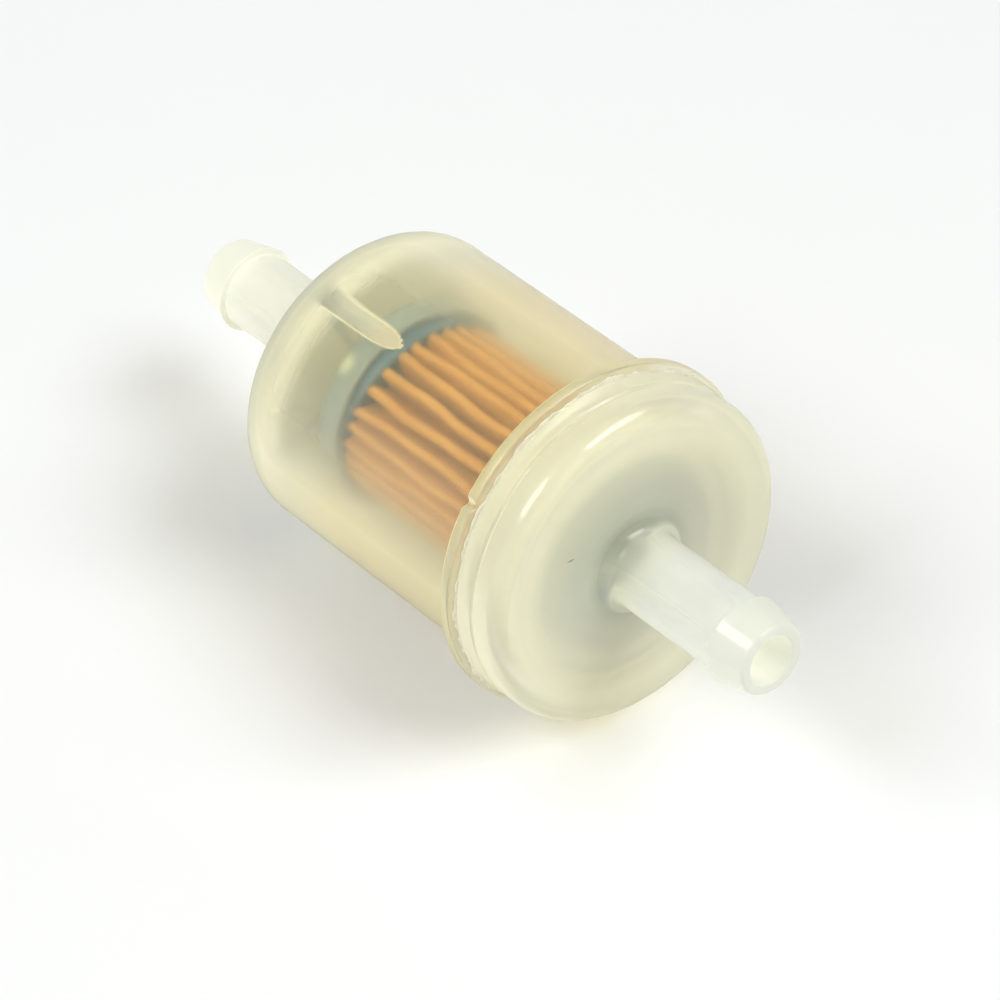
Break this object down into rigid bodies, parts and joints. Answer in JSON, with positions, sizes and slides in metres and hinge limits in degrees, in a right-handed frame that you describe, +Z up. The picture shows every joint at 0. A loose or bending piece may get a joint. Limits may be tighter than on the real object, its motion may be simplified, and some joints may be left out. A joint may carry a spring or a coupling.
{
  "type": "in-line fuel filter",
  "caption": "Translucent moulded in-line fuel filter with a hose barb at each end, a welded flange and a pleated paper element inside.",
  "frame": {"origin": "middle of the filter, on its axis", "axes": "+X along the flow, from the inlet barb to the outlet barb; +Z up"},
  "size_m": [0.072, 0.0316, 0.0316],
  "materials": {
    "shell_nylon": "glossy translucent natural nylon",
    "weld_flash": "remelted nylon, ragged",
    "filter_paper": "resin-cured pleated filter paper",
    "end_cap_plastic": "black moulded plastic",
    "potting": "cured black potting compound",
    "core_plastic": "plain moulded plastic",
    "seam_glue": "cured glue bead",
    "gasket_rubber": "matt fuel-proof rubber"
  },
  "bodies": {
    "root": {"filter_cup": "shell_nylon", "weld_bead": "weld_flash", "outlet_cap": "shell_nylon", "pleated_element": "filter_paper", "seam_strip": "seam_glue", "core_tube": "core_plastic", "closed_end_cap": "end_cap_plastic", "inlet_end_potting": "potting", "open_end_cap": "end_cap_plastic", "outlet_end_potting": "potting", "outlet_gasket": "gasket_rubber"}
  },
  "joints": []
}
